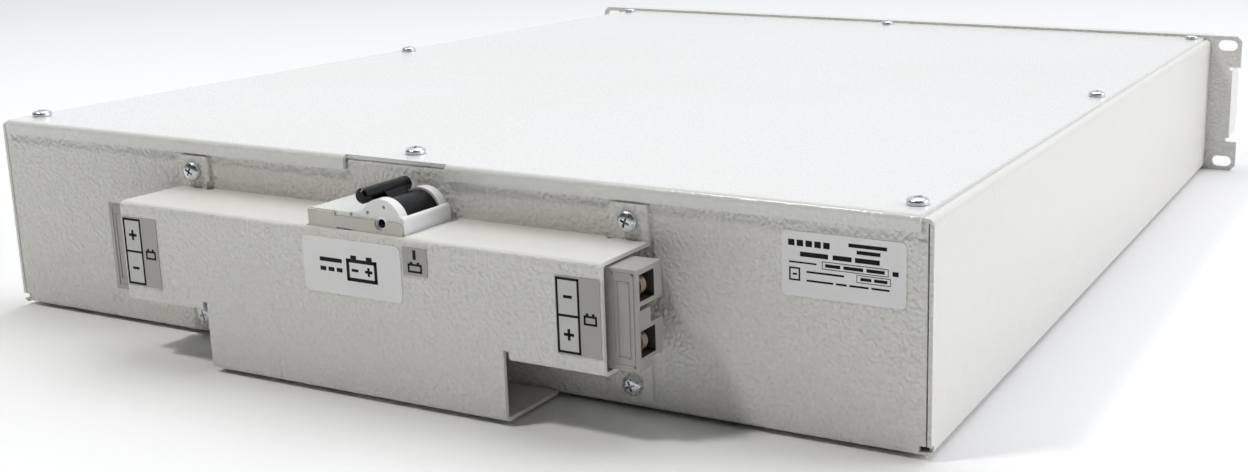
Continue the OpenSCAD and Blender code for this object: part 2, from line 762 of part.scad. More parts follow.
module connector_studs() color(zinc) at_wall() {
    for (s = [-1, 1])
        translate([s * (plug_x + stud_x), -bracket_d + 0.3, stud_place_z(s)])
            rotate([-90, 0, 0]) cylinder(r = 1.65, h = 24, $fn = small_fn);
}

module connector_nuts() color(zinc) at_wall() {
    for (s = [-1, 1])
        translate([s * (plug_x + stud_x), 0, stud_place_z(s)]) {
            translate([0, plug_y + plug_t + 2.6, 0]) rotate([90, 0, 0]) difference() {
                cylinder(r = 3.2, h = 2.5, $fn = 6);
                translate([0, 0, -1]) cylinder(r = 1.68, h = 5, $fn = small_fn);
            }
            translate([0, plug_y, 0]) rotate([90, 0, 0]) difference() {
                cylinder(r = 3.5, h = bracket_d - sheet_t + plug_y, $fn = small_fn);
                translate([0, 0, -1]) cylinder(r = 1.68, h = 8, $fn = small_fn);
            }
        }
}

// Cable holes, junctions and fuse -------------------------------------------------------------

module cable_grommets() color(black) at_wall() {
    for (x = hole_x)
        translate([x, 0, hole_z]) rotate([-90, 0, 0]) difference() {
            union() {
                translate([0, 0, 0]) cylinder(r = hole_r - 0.02, h = sheet_t, $fn = round_fn);
                translate([0, 0, -1.4]) cylinder(r = hole_r + 1.8, h = 1.4, $fn = round_fn);
                translate([0, 0, sheet_t]) cylinder(r = hole_r + 1.8, h = 1.4, $fn = round_fn);
            }
            translate([0, 0, -3]) cylinder(r = hole_r - 1.8, h = 8, $fn = round_fn);
        }
}

junction_x = 0;
junction_y = 34;
bar_y = [-9, 9];

module junction_block() color(black) at_wall() {
    difference() {
        translate([junction_x - 24, junction_y - 16, sheet_t]) cube([48, 32, 16]);
        for (y = bar_y)
            translate([junction_x - 21, junction_y + y - 5, sheet_t + 13]) cube([42, 10, 4]);
        for (y = bar_y, x = [-14, 0, 14])
            translate([junction_x + x, junction_y + y, sheet_t + 5])
                cylinder(r = 2.02, h = 10, $fn = small_fn);
    }
}

module junction_bars() color(copper) at_wall() {
    for (y = bar_y)
        difference() {
            translate([junction_x - 20.5, junction_y + y - 4.5, sheet_t + 13]) cube([41, 9, 3]);
            for (x = [-14, 0, 14])
                translate([junction_x + x, junction_y + y, sheet_t + 12])
                    cylinder(r = 2.1, h = 6, $fn = small_fn);
        }
}

module junction_screws() color(zinc) at_wall() {
    for (y = bar_y, x = [-14, 0, 14])
        translate([junction_x + x, junction_y + y, sheet_t + 16])
            pan_screw(2, 3.6, 2.4, 9);
}

fuse_y = 390;

fuse_z = sheet_t + 15;
fuse_cap_r = 5.5;

// Tray with an open top: the fuse lies on its floor
module fuse_holder() color(black) at_wall() {
    difference() {
        translate([-26, fuse_y - 10, sheet_t]) cube([52, 20, 22]);
        translate([-21, fuse_y - 7, fuse_z - fuse_cap_r - 0.02]) cube([42, 14, 20]);
    }
}

module fuse_link() color("#D8D2C0") at_wall() {
    translate([-14, fuse_y, fuse_z]) rotate([0, 90, 0])
        cylinder(r = fuse_cap_r - 0.5, h = 28, $fn = round_fn);
    for (s = [-1, 1])
        translate([s * 17.4 - 3.4, fuse_y, fuse_z]) rotate([0, 90, 0])
            cylinder(r = fuse_cap_r, h = 6.8, $fn = round_fn);
}

// Batteries -----------------------------------------------------------------------------------

function faces_front(row) = row % 2 == 0;
function cell_y(row) = row_y[row] + (faces_front(row) ? 0 : lid_part);

module block(column, row) color("#3A3C40") at_wall() {
    translate([column_x[column], cell_y(row), block_z]) difference() {
        cube([block_l, block_h - lid_part, block_w]);
        for (x = [block_l / 6 : block_l / 6 : block_l - 10])
            translate([x - 0.5, -1, block_w - 0.6]) cube([1, block_h, 2]);
    }
}

module battery_1() block(0, 0);
module battery_2() block(0, 1);
module battery_3() block(0, 2);
module battery_4() block(0, 3);
module battery_5() block(1, 3);
module battery_6() block(1, 2);
module battery_7() block(1, 1);
module battery_8() block(1, 0);

module battery_lids() color("#4A4D52") at_wall() {
    for (c = [0, 1], row = [0:3])
        translate([column_x[c], faces_front(row) ? row_y[row] + block_h - lid_part : row_y[row],
                   block_z])
            difference() {
                cube([block_l, lid_part, block_w]);
                translate([30, faces_front(row) ? lid_part - 1 : -1, 12])
                    cube([block_l - 60, 2, block_w - 24]);
            }
}

function tab_y(row) = faces_front(row) ? row_y[row] + block_h : row_y[row] - tab_len;
function tab_places() = [
    for (c = [0, 1], row = [0:3], x = [tab_inset, block_l - tab_inset])
        [column_x[c] + x, tab_y(row), row]];

module battery_tabs() color(zinc) at_wall() {
    for (p = tab_places())
        translate([p[0] - 3.15, p[1], tab_z - 0.4]) cube([6.3, tab_len, 0.8]);
}

module tab_boots() color("#9A2A22") at_wall() {
    for (p = tab_places())
        difference() {
            translate([p[0] - boot[0] / 2, faces_front(p[2]) ? p[1] + 0.2 : p[1] + tab_len - 0.2 - boot[1],
                       tab_z - boot[2] / 2])
                cube(boot);
            translate([p[0] - 3.3, p[1] - 0.1, tab_z - 0.5]) cube([6.6, tab_len + 0.2, 1]);
        }
}

// Pads and hold-downs -------------------------------------------------------------------------

module base_pads() color("#5A5C5E") at_wall() {
    for (c = [0, 1], row = [0, 2])
        translate([column_x[c], row_y[row], sheet_t])
            cube([block_l, row_y[row + 1] + block_h - row_y[row], pad_t]);
}

// Foam between the middle rows and under the hold-down bars
module foam_pads() color("#5A5C5E") at_wall() {
    for (c = [0, 1])
        translate([column_x[c], row_y[1] + block_h, block_z])
            cube([block_l, row_y[2] - row_y[1] - block_h, block_w - 5]);
    for (k = [0:2], s = [-1, 1])
        translate([s * 140 - 60, hold_down_rows[k] - hold_down_w[k] / 2 + 2, bar_top_z - 3])
            cube([120, hold_down_w[k] - 4, 1.5]);
}

post_x = 58;
bar_top_z = block_z + block_w + 3;
hold_down_rows = [74, 280, 488];
hold_down_w = [16, 30, 16];

module hold_down(y, w) color(zinc) at_wall() {
    difference() {
        union() {
            translate([-205, y - w / 2, bar_top_z - 1.5]) cube([410, w, 1.5]);
            for (s = [-1, 1])
                translate([-205, y + s * (w / 2 - 0.75) - 0.75, bar_top_z - 1.5])
                    cube([410, 1.5, 8]);
        }
        for (s = [-1, 1])
            translate([s * post_x, y, bar_top_z - 3]) cylinder(r = 2.7, h = 6, $fn = small_fn);
    }
}

module hold_down_rear() hold_down(hold_down_rows[0], hold_down_w[0]);
module hold_down_middle() hold_down(hold_down_rows[1], hold_down_w[1]);
module hold_down_front() hold_down(hold_down_rows[2], hold_down_w[2]);

module hold_down_posts() color(zinc) at_wall() {
    for (y = hold_down_rows, s = [-1, 1])
        translate([s * post_x, y, sheet_t]) difference() {
            cylinder(r = 4.5, h = bar_top_z - 1.5 - sheet_t, $fn = small_fn);
            translate([0, 0, 50]) cylinder(r = 2.52, h = 40, $fn = small_fn);
        }
}

module hold_down_screws() color(zinc) at_wall() {
    for (y = hold_down_rows, s = [-1, 1])
        translate([s * post_x, y, bar_top_z]) pan_screw(2.5, 4.6, 3, 14);
}

// Wiring --------------------------------------------------------------------------------------

// Routes are in wall coordinates: x, y, z in millimetres
boot_in_x = column_x[0] + block_l - tab_inset + boot[0] / 2;
gap_y = [row_y[0] + block_h, row_y[2] + block_h];
clamp_z = 27.5;
clamp_y = breaker_y + cover_t + (breaker_w - cover_t) / 2;
bar_wire_z = sheet_t + 16 + wire_d / 2;

route_plus = [
    [boot_in_x, gap_y[0] + 4.7, tab_z], [-60, 164, 55], [-50, 152, 50], [-46, 110, 44],
    [-47, 60, 44], [-52, 26, 44], [-52, 8, 44], [-52, -4, 42], [-50, -11, 36],
    [-43, clamp_y, 28.5], [-27, clamp_y, clamp_z]];
route_minus = [
    [-boot_in_x, gap_y[0] + 4.7, tab_z], [60, 164, 55], [52, 150, 50], [48, 110, 34],
    [36, 80, 24], [12, 62, 21], [2, 54, 20], [0, 47.2, bar_wire_z]];
route_out = [
    [38, clamp_y, clamp_z], [50, clamp_y, 29], [57, -10, 38], [57.5, -2, 44], [57.5, 6, 44],
    [48, 12, 36], [24, 12, 24], [6, 15, 20], [0, 20.8, bar_wire_z]];

module cable_string_plus() color("#B3221C") at_wall() cable(route_plus, wire_d);

module cable_string_minus() color("#1F3F8F") at_wall() cable(route_minus, wire_d);

module cable_breaker_out() color("#B3221C") at_wall() cable(route_out, wire_d);

// The two leads of a connector run from its barrels through the cable hole to the junction bars.
// The higher one swings wide above the lower one.
module connector_leads(side) {
    hole = side > 0 ? hole_x[1] + 3 : hole_x[0] - 3;
    for (k = [0, 1]) {
        cell = cell_place_z(side, k);
        level = hole_z + (cell - hole_z) * 0.45;
        bar = junction_y + bar_y[k];
        inside = cell > hole_z
            ? [[side * 68, 16, 42], [side * 62, bar * 0.7 + 8, 34], [side * 46, bar, 26]]
            : [[side * 62, 14, 26], [side * 57, bar * 0.5 + 12, 14], [side * 43, bar, 14]];
        cable(concat(
            [[side * (plug_x + 9), plug_y + plug_t / 2, cell],
             [side * (plug_x - 5), plug_y + plug_t / 2, cell],
             [hole, -9, level], [hole, 5, level]],
            inside,
            [[side * 30, bar, bar_wire_z + 0.5], [side * 19, bar, bar_wire_z]]), wire_d);
    }
}

module connector_leads_left() color("#303236") at_wall() connector_leads(-1);

module connector_leads_right() color("#303236") at_wall() connector_leads(1);

module series_jumpers() color("#303236") at_wall() {
    for (s = [-1, 1]) {
        x = s * (inner_w / 2 - 2 - tab_inset - boot[0] / 2);
        for (g = gap_y)
            cable([[x, g + 4.7, tab_z], [x - s * 14, g + 6, tab_z], [x - s * 20, g + 13, tab_z],
                   [x - s * 14, g + 20, tab_z], [x, g + 21.3, tab_z]], wire_d);
        cable([[s * -boot_in_x, gap_y[0] + 21.3, tab_z], [s * 50, 184, 54], [s * 46, 200, 50],
               [s * 46, 280, 48], [s * 46, 360, 50], [s * 50, 376, 54],
               [s * -boot_in_x, gap_y[1] + 4.7, tab_z]], wire_d);
        cable([[s * -boot_in_x, gap_y[1] + 21.3, tab_z], [s * 52, 397, 46], [s * 44, 396, 28],
               [s * 34, 391, 17], [s * 26, fuse_y, fuse_z]], wire_d);
    }
}

// Labels --------------------------------------------------------------------------------------

module label(x, z, w, h, r, y) {
    translate([x, y - label_t, z]) along_y(label_t) rounded_rect(w, h, r);
}

module rating_label() color("#D5D3CE") at_wall() label(166, 51.5, 46, 23, 2, 0);

module voltage_label() color("#DCDBD8") at_wall() label(-18.5, 39.5, 46, 21.5, 2.5, -bracket_d);

module switch_label() color("#8A8884") at_wall() label(28.6, 50.7, 11, 10.6, 0.3, -bracket_d);

module polarity_labels() color("#A8A69F") at_wall() {
    for (s = [-1, 1])
        label(s > 0 ? bracket_w / 2 - 19 : -bracket_w / 2 + 0.8, 30, 18.2, 28.5, 0.3, -bracket_d);
}

case_tray();
top_cover();
lid_screws();
lid_nuts();
front_panel();
front_fascia();
fascia_screws();
panel_screws();
rear_bracket();
bracket_screws();
bracket_nuts();
breaker_housing();
breaker_side_cover();
breaker_handle();
breaker_pin();
breaker_rivets();
breaker_clamps();
breaker_rail_clip();
din_rail();
rail_screws();
connector_left();
connector_right();
contacts_left();
contacts_right();
connector_studs();
connector_nuts();
cable_grommets();
junction_block();
junction_bars();
junction_screws();
fuse_holder();
fuse_link();
battery_1();
battery_2();
battery_3();
battery_4();
battery_5();
battery_6();
battery_7();
battery_8();
battery_lids();
battery_tabs();
tab_boots();
base_pads();
foam_pads();
hold_down_rear();
hold_down_middle();
hold_down_front();
hold_down_posts();
hold_down_screws();
cable_string_plus();
cable_string_minus();
cable_breaker_out();
connector_leads_left();
connector_leads_right();
series_jumpers();
rating_label();
voltage_label();
switch_label();
polarity_labels();
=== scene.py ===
"""Looks of the rack battery: materials, rounded edges, marks and screws around its CAD part."""
import json
import math

import bmesh
import bpy
from mathutils import Matrix, Vector


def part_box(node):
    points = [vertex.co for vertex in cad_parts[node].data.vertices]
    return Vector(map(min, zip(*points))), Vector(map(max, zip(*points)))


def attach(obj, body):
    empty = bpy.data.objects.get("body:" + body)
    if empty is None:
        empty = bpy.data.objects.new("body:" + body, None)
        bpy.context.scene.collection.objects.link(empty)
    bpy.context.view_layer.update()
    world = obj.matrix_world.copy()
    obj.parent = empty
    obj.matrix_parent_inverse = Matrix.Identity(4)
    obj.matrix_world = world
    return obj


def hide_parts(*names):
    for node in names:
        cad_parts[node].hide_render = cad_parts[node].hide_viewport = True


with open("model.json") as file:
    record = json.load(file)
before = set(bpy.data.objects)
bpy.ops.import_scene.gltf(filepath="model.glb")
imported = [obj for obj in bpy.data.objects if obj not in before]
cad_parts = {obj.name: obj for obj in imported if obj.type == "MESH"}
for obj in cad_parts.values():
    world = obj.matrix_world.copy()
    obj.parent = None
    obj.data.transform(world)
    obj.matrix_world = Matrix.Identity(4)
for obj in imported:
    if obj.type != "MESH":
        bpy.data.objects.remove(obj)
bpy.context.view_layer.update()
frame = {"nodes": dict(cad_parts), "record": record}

MM = 0.001
SHARP_ANGLE = math.radians(35)
BEVEL_ANGLE = math.radians(40)

nodes = frame["nodes"]
root = "case"


def low(node):
    """The lowest corner of a node's box."""
    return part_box(node)[0]


def high(node):
    """The highest corner of a node's box."""
    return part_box(node)[1]


# Camera --------------------------------------------------------------------------------------

LIP_OUT = 1.7 * MM        # the lid's lip stands out this far behind the rear wall
rear_wall_y = low("top_cover").y + LIP_OUT
case_bottom_z = low("case_tray").z

CAMERA_AT = Vector((376.5, -427.3, 197.8)) * MM   # from the middle of the rear wall's lower edge
CAMERA_YAW = math.radians(23.74)
CAMERA_PITCH = math.radians(12.53)
CAMERA_SHIFT = (-0.1748, -0.0457)
LENS_MM = 41.4144
SENSOR_MM = 36

camera_data = bpy.data.cameras.new("camera")
camera_data.sensor_width = SENSOR_MM
camera_data.lens = LENS_MM
camera_data.shift_x, camera_data.shift_y = CAMERA_SHIFT
camera_data.clip_start = 0.01
camera = bpy.data.objects.new("camera", camera_data)
camera.location = CAMERA_AT + Vector((0, rear_wall_y, case_bottom_z))
camera.rotation_euler = (math.pi / 2 - CAMERA_PITCH, 0, CAMERA_YAW)
bpy.context.scene.collection.objects.link(camera)
bpy.context.scene.camera = camera


# Light ---------------------------------------------------------------------------------------

def area_light(name, at, target, size, watts, colour):
    data = bpy.data.lights.new(name, "AREA")
    data.shape = "RECTANGLE"
    data.size, data.size_y = size
    data.energy = watts
    data.color = colour
    lamp = bpy.data.objects.new(name, data)
    lamp.location = at
    lamp.rotation_euler = (Vector(target) - Vector(at)).to_track_quat("-Z", "Y").to_euler()
    bpy.context.scene.collection.objects.link(lamp)


area_light("overhead", (0.1, 1.0, 3.3), (0, 0.4, 0), (2.6, 2.2), 45, (0.98, 0.985, 1))
area_light("right_side", (2.2, 0.9, 1.0), (0.2, 0.1, 0), (1.2, 1.0), 19, (0.965, 0.945, 1))
area_light("rear_top", (-0.75, -1.0, 1.95), (0, -0.25, 0), (0.3, 0.25), 16, (1, 0.98, 0.925))


SKY_AHEAD = (0.93, 0.96, 1.0, 1)
SKY_BEHIND = (0.02, 0.02, 0.018, 1)
SKY_STRENGTH = 0.85


def studio_world():
    """White to the camera. The sky that lights the scene is bright ahead and dark behind."""
    world = bpy.data.worlds.new("studio")
    world.use_nodes = True
    tree = world.node_tree
    place = tree.nodes.new("ShaderNodeTexCoord").outputs["Generated"]
    apart = tree.nodes.new("ShaderNodeSeparateXYZ")
    tree.links.new(place, apart.inputs["Vector"])
    ramp = tree.nodes.new("ShaderNodeValToRGB")
    ramp.color_ramp.elements[0].position = 0.3
    ramp.color_ramp.elements[0].color = SKY_BEHIND
    ramp.color_ramp.elements[1].position = 0.62
    ramp.color_ramp.elements[1].color = SKY_AHEAD
    half = tree.nodes.new("ShaderNodeMapRange")
    half.inputs["From Min"].default_value = -1
    tree.links.new(apart.outputs["Y"], half.inputs["Value"])
    tree.links.new(half.outputs["Result"], ramp.inputs["Fac"])
    sky = tree.nodes["Background"]
    tree.links.new(ramp.outputs["Color"], sky.inputs["Color"])
    sky.inputs["Strength"].default_value = SKY_STRENGTH
    paper = tree.nodes.new("ShaderNodeBackground")
    paper.inputs["Color"].default_value = (1, 1, 1, 1)
    mix = tree.nodes.new("ShaderNodeMixShader")
    ray = tree.nodes.new("ShaderNodeLightPath")
    tree.links.new(ray.outputs["Is Camera Ray"], mix.inputs["Fac"])
    tree.links.new(sky.outputs["Background"], mix.inputs[1])
    tree.links.new(paper.outputs["Background"], mix.inputs[2])
    tree.links.new(mix.outputs["Shader"], tree.nodes["World Output"].inputs["Surface"])
    bpy.context.scene.world = world


studio_world()
bpy.context.scene.view_settings.view_transform = "Standard"


# Material helpers ----------------------------------------------------------------------------

class Recipe:
    """A small node builder around one Principled shader."""

    def __init__(self, name, roughness, metallic=0.0, **sockets):
        self.material = bpy.data.materials.new(name)
        self.material.use_nodes = True
        self.tree = self.material.node_tree
        self.shader = self.tree.nodes["Principled BSDF"]
        self.shader.inputs["Roughness"].default_value = roughness
        self.shader.inputs["Metallic"].default_value = metallic
        for key, value in sockets.items():
            self.shader.inputs[key.replace("_", " ")].default_value = value
        self.place = self.tree.nodes.new("ShaderNodeTexCoord").outputs["Object"]

    def node(self, kind, **values):
        made = self.tree.nodes.new(kind)
        for key, value in values.items():
            if hasattr(made, key):
                setattr(made, key, value)
            else:
                made.inputs[key.replace("_", " ")].default_value = value
        return made

    def link(self, output, target):
        self.tree.links.new(output, target)

    def noise(self, scale, detail=2.0, roughness=0.5, distortion=0.0, stretch=None):
        made = self.node("ShaderNodeTexNoise", Scale=scale, Detail=detail,
                         Roughness=roughness, Distortion=distortion)
        self.link(self.stretched(stretch), made.inputs["Vector"])
        return made.outputs["Fac"]

    def cells(self, scale, smooth=0.6):
        made = self.node("ShaderNodeTexVoronoi", feature="SMOOTH_F1", Scale=scale)
        made.inputs["Smoothness"].default_value = smooth
        self.link(self.place, made.inputs["Vector"])
        return made.outputs["Distance"]

    def stretched(self, stretch):
        if stretch is None:
            return self.place
        mapping = self.node("ShaderNodeMapping")
        mapping.inputs["Scale"].default_value = stretch
        self.link(self.place, mapping.inputs["Vector"])
        return mapping.outputs["Vector"]

    def ramp(self, source, stops):
        made = self.node("ShaderNodeValToRGB")
        elements = made.color_ramp.elements
        while len(elements) < len(stops):
            elements.new(0.5)
        for element, (at, colour) in zip(elements, stops):
            element.position = at
            element.color = (*colour, 1)
        self.link(source, made.inputs["Fac"])
        return made.outputs["Color"]

    def spread(self, source, from_range, to_range):
        made = self.node("ShaderNodeMapRange")
        for key, value in zip(("From Min", "From Max", "To Min", "To Max"), from_range + to_range):
            made.inputs[key].default_value = value
        self.link(source, made.inputs["Value"])
        return made.outputs["Result"]

    def mixed(self, a, b, share):
        """Colours a and b, mixed by share: all three are outputs of other nodes."""
        made = self.node("ShaderNodeMix", data_type="RGBA", blend_type="MIX")
        for socket, output in ((0, share), (6, a), (7, b)):
            self.link(output, made.inputs[socket])
        return made.outputs[2]

    def maths(self, operation, a, b):
        made = self.node("ShaderNodeMath", operation=operation)
        for socket, value in enumerate((a, b)):
            if isinstance(value, bpy.types.NodeSocket):
                self.link(value, made.inputs[socket])
            else:
                made.inputs[socket].default_value = value
        return made.outputs[0]

    def colour(self, output):
        self.link(output, self.shader.inputs["Base Color"])

    def rough(self, output):
        self.link(output, self.shader.inputs["Roughness"])

    def bump(self, *layers):
        """Each layer is (height, strength, distance in metres)."""
        last = None
        for height, strength, distance in layers:
            made = self.node("ShaderNodeBump", Strength=strength, Distance=distance)
            self.link(height, made.inputs["Height"])
            if last is not None:
                self.link(last, made.inputs["Normal"])
            last = made.outputs["Normal"]
        self.link(last, self.shader.inputs["Normal"])


def powder_coat(name, colour, height=1.0, gloss=0.34, flank=0.2):
    """Thick textured paint: soft pebbles 2 to 3 mm across, with a finer skin between them.
    They are lower, by flank, on bends and on faces that look up, down or sideways. The valleys
    between the pebbles are coloured darker, a painted shade, on the same faces."""
    r = Recipe(name, gloss, IOR=1.48)
    pebbles = r.noise(620, 0.8, 0.4, 0.2)
    fine = r.noise(1500, 2.0, 0.6)
    tone = r.noise(7, 2.0, 0.5)
    apart = r.node("ShaderNodeSeparateXYZ")
    r.link(r.node("ShaderNodeNewGeometry").outputs["Normal"], apart.inputs["Vector"])
    endwise = r.maths("ABSOLUTE", apart.outputs["Y"], 0)
    share = r.spread(endwise, (0.7, 0.97), (height * flank, height))
    relief = r.maths("MULTIPLY", pebbles, share)
    # Painted shade: the pebbles' valleys are coloured 4 % darker, in place of the shade that falls
    # in them.
    painted_valley_shade = tuple(c * 0.96 for c in colour)
    faded = tuple(c * f for c, f in zip(colour, (0.985, 0.98, 0.965)))
    grain_and_valley_shade = r.ramp(pebbles, [(0.36, painted_valley_shade), (0.54, colour)])
    flat = r.ramp(tone, [(0.35, faded), (0.65, colour)])
    r.colour(r.mixed(flat, grain_and_valley_shade, share))
    r.rough(r.spread(fine, (0.3, 0.7), (gloss - 0.06, gloss + 0.1)))
    r.bump((relief, 1.0, 0.0011), (fine, 0.12 * height, 0.0001))
    return r.material


def zinc(name, colour=(0.72, 0.74, 0.78), rough=0.28):
    r = Recipe(name, rough, 1.0)
    bloom = r.noise(260, 3.0, 0.6, 0.3)
    grain = r.noise(1800, 2.0, 0.5)
    warm = tuple(c * 0.86 for c in colour)
    r.colour(r.ramp(bloom, [(0.3, warm), (0.65, colour)]))
    r.rough(r.spread(grain, (0.25, 0.75), (rough - 0.06, rough + 0.12)))
    r.bump((grain, 0.12, 0.0001))
    return r.material


def plastic(name, colour, rough=0.4, grain_size=2200, depth=0.25, shade=0.92, **sockets):
    r = Recipe(name, rough, **sockets)
    cloud = r.noise(60, 3.0, 0.5)
    grain = r.noise(grain_size, 2.0, 0.6)
    r.colour(r.ramp(cloud, [(0.3, tuple(c * shade for c in colour)), (0.7, colour)]))
    r.rough(r.spread(grain, (0.3, 0.7), (rough - 0.05, rough + 0.08)))
    r.bump((grain, depth, 0.00008))
    return r.material


def brushed(name, colour, rough=0.3, along=(1, 40, 40)):
    r = Recipe(name, rough, 1.0)
    lines = r.noise(60, 4.0, 0.6, 0.0, along)
    r.colour(r.ramp(lines, [(0.3, tuple(c * 0.8 for c in colour)), (0.7, colour)]))
    r.rough(r.spread(lines, (0.3, 0.7), (rough - 0.08, rough + 0.12)))
    r.bump((lines, 0.1, 0.00008))
    return r.material


def foam(name, colour):
    r = Recipe(name, 0.9)
    bubbles = r.cells(900, 0.3)
    r.colour(r.ramp(bubbles, [(0.1, tuple(c * 0.6 for c in colour)), (0.6, colour)]))
    r.bump((bubbles, 0.5, 0.0003))
    return r.material


def film(name, colour, rough=0.35):
    r = Recipe(name, rough, Coat_Weight=0.2, Coat_Roughness=0.2)
    cloud = r.noise(45, 2.0, 0.5)
    dimple = r.noise(420, 2.0, 0.5)
    r.colour(r.ramp(cloud, [(0.3, tuple(c * 0.95 for c in colour)), (0.7, colour)]))
    r.rough(r.spread(dimple, (0.3, 0.7), (rough - 0.04, rough + 0.05)))
    r.bump((dimple, 0.06, 0.0001))
    return r.material


FINISHES = {
    "painted_steel": powder_coat("paint", (0.79, 0.78, 0.745)),
    # Painted sheen: the lid's copy of the paint is lighter and cooler than the rest, standing in
    # for the light it reflects; its lower gloss value and bump are the real finish.
    "lid_paint_and_sheen": powder_coat("lid_paint_and_sheen", (0.82, 0.82, 0.81), 0.35, 0.2, 0.15),
    "fascia_plastic": plastic("fascia_plastic", (0.8, 0.8, 0.78), 0.42, shade=0.985),
    "zinc_steel": zinc("zinc_steel"),
    "white_plastic": plastic("white_plastic", (0.86, 0.865, 0.86), 0.3, depth=0.12, shade=0.97,
                             Subsurface_Weight=0.05, Subsurface_Scale=0.002),
    "cover_plastic": plastic("cover_plastic", (0.62, 0.60, 0.55), 0.5),
    "grey_plastic": plastic("grey_plastic", (0.45, 0.43, 0.40), 0.42, 1500),
    # Painted shade: near-black grey for the shaded walls inside the connectors' cells.
    "cell_painted_shade": plastic("cell_painted_shade", (0.06, 0.056, 0.05), 0.5, 1500),
    "black_plastic": plastic("black_plastic", (0.004, 0.004, 0.005), 0.24,
                             depth=0.15, Specular_IOR_Level=0.22),
    "copper": brushed("copper", (0.55, 0.42, 0.33), 0.42),
    "battery_plastic": plastic("battery_plastic", (0.04, 0.042, 0.046), 0.5, 900),
    "foam": foam("foam", (0.1, 0.105, 0.11)),
    "red_rubber": plastic("red_rubber", (0.45, 0.03, 0.02), 0.5),
    "blue_rubber": plastic("blue_rubber", (0.02, 0.07, 0.35), 0.5),
    "black_rubber": plastic("black_rubber", (0.02, 0.02, 0.022), 0.55),
    "fuse_ceramic": plastic("fuse_ceramic", (0.7, 0.65, 0.52), 0.25, 800),
    "label_film": film("label_film", (0.86, 0.865, 0.86)),
    "label_dark": film("label_dark", (0.42, 0.405, 0.38)),
}

node_slot = {}
for entry in frame["record"]["subparts"]:
    node_slot[entry["node"]] = entry["material_slot"]


def finish_of(node):
    """The lid is smoother than the rest of the painted steel, and its colour is lighter and
    cooler, a painted sheen of the light on the top.
    """
    return FINISHES["lid_paint_and_sheen" if node == "top_cover" else node_slot[node]]


for name, piece in nodes.items():
    piece.data.materials.clear()
    piece.data.materials.append(finish_of(name))

INK = plastic("ink", (0.004, 0.004, 0.005), 0.5, depth=0.05, Specular_IOR_Level=0.2)
PANEL_PRINT = film("panel_print", (0.62, 0.61, 0.575), 0.4)

body_of = {}
for body, members in frame["record"]["behaviour"]["bodies"].items():
    for member in members:
        body_of[member] = body


# Pieces --------------------------------------------------------------------------------------

def new_piece(name, form, material, body=root):
    """Turns a bmesh into a finished piece that rides on a body."""
    mesh = bpy.data.meshes.new(name)
    bmesh.ops.recalc_face_normals(form, faces=form.faces)
    form.to_mesh(mesh)
    form.free()
    mesh.polygons.foreach_set("use_smooth", [True] * len(mesh.polygons))
    mesh.set_sharp_from_angle(angle=SHARP_ANGLE)
    mesh.materials.append(material)
    piece = bpy.data.objects.new(name, mesh)
    bpy.context.scene.collection.objects.link(piece)
    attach(piece, body)
    return piece


def applied(piece):
    """Bakes a piece's modifiers into its mesh."""
    graph = bpy.context.evaluated_depsgraph_get()
    mesh = bpy.data.meshes.new_from_object(piece.evaluated_get(graph))
    piece.modifiers.clear()
    piece.data = mesh


def bare_form(mesh):
    """A bmesh with the mesh's shape alone, its coplanar triangles joined into plain faces."""
    form = bmesh.new()
    corners = [form.verts.new(v.co) for v in mesh.vertices]
    for polygon in mesh.polygons:
        try:
            form.faces.new([corners[i] for i in polygon.vertices])
        except ValueError:
            continue
    bmesh.ops.remove_doubles(form, verts=form.verts, dist=0.002 * MM)
    bmesh.ops.dissolve_limit(form, angle_limit=math.radians(0.5), verts=form.verts,
                             edges=form.edges)
    return form


def softened(node, width):
    """The CAD shape with its sharp edges rounded by width millimetres."""
    form = bare_form(nodes[node].data)
    piece = new_piece(node + "_finished", form, finish_of(node), body_of[node])
    bevel = piece.modifiers.new("bevel", "BEVEL")
    bevel.width = width * MM
    bevel.segments = 2
    bevel.limit_method = "ANGLE"
    bevel.angle_limit = BEVEL_ANGLE
    bevel.use_clamp_overlap = True
    weights = piece.modifiers.new("weights", "WEIGHTED_NORMAL")
    weights.keep_sharp = True
    applied(piece)
    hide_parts(node)
    return piece


EDGE_ROUNDING = {
    "case_tray": 0.3, "top_cover": 0.35, "rear_bracket": 0.35, "front_panel": 0.35,
    "front_fascia": 0.8, "breaker_housing": 0.4, "breaker_side_cover": 0.25,
    "breaker_handle": 0.35, "breaker_rail_clip": 0.3, "connector_left": 0.45,
    "connector_right": 0.45, "contacts_left": 0.3, "contacts_right": 0.3, "din_rail": 0.2,
    "junction_block": 0.5, "junction_bars": 0.3, "fuse_holder": 0.6, "battery_lids": 1.0,
    "tab_boots": 1.2, "hold_down_rear": 0.3, "hold_down_middle": 0.3, "hold_down_front": 0.3,
}
for k in range(8):
    EDGE_ROUNDING["battery_%d" % (k + 1)] = 1.2
finished = {name: softened(name, width) for name, width in EDGE_ROUNDING.items()}

# A connector's two cells, in millimetres: how far in from the mouth, from the rear face
# and, for their middles, from the lower end (the upper end of the left connector)
CELL_DEPTHS = (0.6, 16)
CELL_Y = (1.4, 10.9)
CELL_MIDDLES = (9.6, 29.8)
CELL_H = 9.6
NEAR = 0.1


